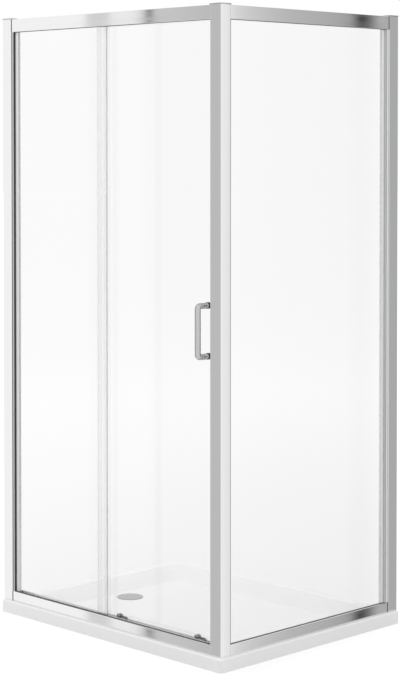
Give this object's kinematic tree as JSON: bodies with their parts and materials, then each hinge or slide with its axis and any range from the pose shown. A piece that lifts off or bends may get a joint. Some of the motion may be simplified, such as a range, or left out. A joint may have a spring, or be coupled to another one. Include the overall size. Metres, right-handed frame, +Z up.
{
  "type": "shower enclosure",
  "caption": "Framed corner shower enclosure on a low tray, with a fixed pane, a glass door that slides on top and bottom rollers, a side pane and a bent-bar handle.",
  "frame": {"origin": "centre of the underside of the tray", "axes": "+X along the front, from the left wall to the corner post; +Y from the front to the back wall; +Z up. The walls are the planes x = -0.5 and y = 0.4."},
  "size_m": [1, 0.8155, 1.914],
  "materials": {
    "acrylic": "glossy white acrylic",
    "board": "raw chipboard",
    "aluminium": "bright polished anodised",
    "cap_plastic": "satin chrome-coloured plastic",
    "screw_steel": "stainless steel",
    "glass": "clear toughened glass",
    "gasket_rubber": "black rubber",
    "clear_seal": "translucent soft plastic",
    "magnet_strip": "grey magnetic strip",
    "chrome": "polished chrome",
    "zinc": "plated die casting",
    "axle_steel": "turned steel",
    "wheel_plastic": "white acetal"
  },
  "bodies": {
    "enclosure": {"shower_tray": "acrylic", "tray_support": "board", "wall_profile_front": "aluminium", "wall_profile_side": "aluminium", "jamb_front": "aluminium", "jamb_side": "aluminium", "corner_post": "aluminium", "top_rail_front": "aluminium", "bottom_rail_front": "aluminium", "top_rail_side": "aluminium", "bottom_rail_side": "aluminium", "wall_cap_front": "cap_plastic", "wall_cap_side": "cap_plastic", "corner_post_cap": "cap_plastic", "rail_end_plates_front": "cap_plastic", "rail_end_plates_side": "cap_plastic", "jamb_screws_front": "screw_steel", "jamb_screws_side": "screw_steel", "rail_screws_front": "screw_steel", "rail_screws_side": "screw_steel", "fixed_glass": "glass", "side_glass": "glass", "fixed_glass_gasket": "gasket_rubber", "side_glass_gasket": "gasket_rubber", "door_stops": "gasket_rubber", "waste_gasket": "gasket_rubber", "fixed_glass_seal": "clear_seal", "post_magnet_strip": "magnet_strip", "waste_flange": "chrome"},
    "door": {"door_glass": "glass", "door_trailing_seal": "clear_seal", "door_magnet_seal": "clear_seal", "door_bottom_seal": "clear_seal", "handle": "chrome", "handle_collars": "chrome", "handle_bolts": "chrome", "top_bracket_left": "zinc", "top_bracket_right": "zinc", "top_clamp_left": "chrome", "top_clamp_right": "chrome", "top_adjusters": "wheel_plastic", "top_axles_left": "axle_steel", "top_axles_right": "axle_steel", "bottom_pivot_left": "chrome", "bottom_pivot_right": "chrome", "bottom_springs": "axle_steel"},
    "waste_lid": {"waste_cover": "chrome"},
    "top_wheel_left_outer": {"top_wheel_left_outer": "wheel_plastic"},
    "top_wheel_left_inner": {"top_wheel_left_inner": "wheel_plastic"},
    "top_wheel_right_inner": {"top_wheel_right_inner": "wheel_plastic"},
    "top_wheel_right_outer": {"top_wheel_right_outer": "wheel_plastic"},
    "arm_left": {"bottom_arm_left": "zinc", "bottom_axle_left": "axle_steel"},
    "bottom_wheel_left": {"bottom_wheel_left": "wheel_plastic"},
    "arm_right": {"bottom_arm_right": "zinc", "bottom_axle_right": "axle_steel"},
    "bottom_wheel_right": {"bottom_wheel_right": "wheel_plastic"}
  },
  "joints": [
    {"name": "door_slide", "type": "slide", "parent": "enclosure", "child": "door", "axis": [-1, 0, 0], "range_m": [0, 0.38]},
    {"name": "top_wheel_left_outer_spin", "type": "hinge", "parent": "door", "child": "top_wheel_left_outer", "pos_m": [-0.0085, -0.3478, 1.8878], "axis": [0, -1, 0], "range_deg": [0, 1980]},
    {"name": "top_wheel_left_inner_spin", "type": "hinge", "parent": "door", "child": "top_wheel_left_inner", "pos_m": [0.0295, -0.3478, 1.8878], "axis": [0, -1, 0], "range_deg": [0, 1980]},
    {"name": "top_wheel_right_inner_spin", "type": "hinge", "parent": "door", "child": "top_wheel_right_inner", "pos_m": [0.353, -0.3478, 1.8878], "axis": [0, -1, 0], "range_deg": [0, 1980]},
    {"name": "top_wheel_right_outer_spin", "type": "hinge", "parent": "door", "child": "top_wheel_right_outer", "pos_m": [0.391, -0.3478, 1.8878], "axis": [0, -1, 0], "range_deg": [0, 1980]},
    {"name": "arm_left_lift", "type": "hinge", "parent": "door", "child": "arm_left", "pos_m": [0.022, -0.3533, 0.0725], "axis": [0, -1, 0], "range_deg": [0, 12], "stiffness_Nm_per_rad": 0.5, "springref_deg": -45.84},
    {"name": "bottom_wheel_left_spin", "type": "hinge", "parent": "arm_left", "child": "bottom_wheel_left", "pos_m": [0.0515, -0.3478, 0.0603], "axis": [0, -1, 0], "range_deg": [0, 2722]},
    {"name": "arm_right_lift", "type": "hinge", "parent": "door", "child": "arm_right", "pos_m": [0.3605, -0.3533, 0.0725], "axis": [0, -1, 0], "range_deg": [0, 12], "stiffness_Nm_per_rad": 0.5, "springref_deg": -45.84},
    {"name": "bottom_wheel_right_spin", "type": "hinge", "parent": "arm_right", "child": "bottom_wheel_right", "pos_m": [0.39, -0.3478, 0.0603], "axis": [0, -1, 0], "range_deg": [0, 2722]},
    {"name": "waste_lid_lift", "type": "slide", "parent": "enclosure", "child": "waste_lid", "axis": [0, 0, 1], "range_m": [0, 0.06]}
  ],
  "couplings": [
    {"joint": "top_wheel_left_outer_spin", "follows": "door_slide", "rad_per_m": 90.909},
    {"joint": "top_wheel_left_inner_spin", "follows": "door_slide", "rad_per_m": 90.909},
    {"joint": "top_wheel_right_inner_spin", "follows": "door_slide", "rad_per_m": 90.909},
    {"joint": "top_wheel_right_outer_spin", "follows": "door_slide", "rad_per_m": 90.909},
    {"joint": "bottom_wheel_left_spin", "follows": "door_slide", "rad_per_m": 125},
    {"joint": "bottom_wheel_right_spin", "follows": "door_slide", "rad_per_m": 125}
  ]
}
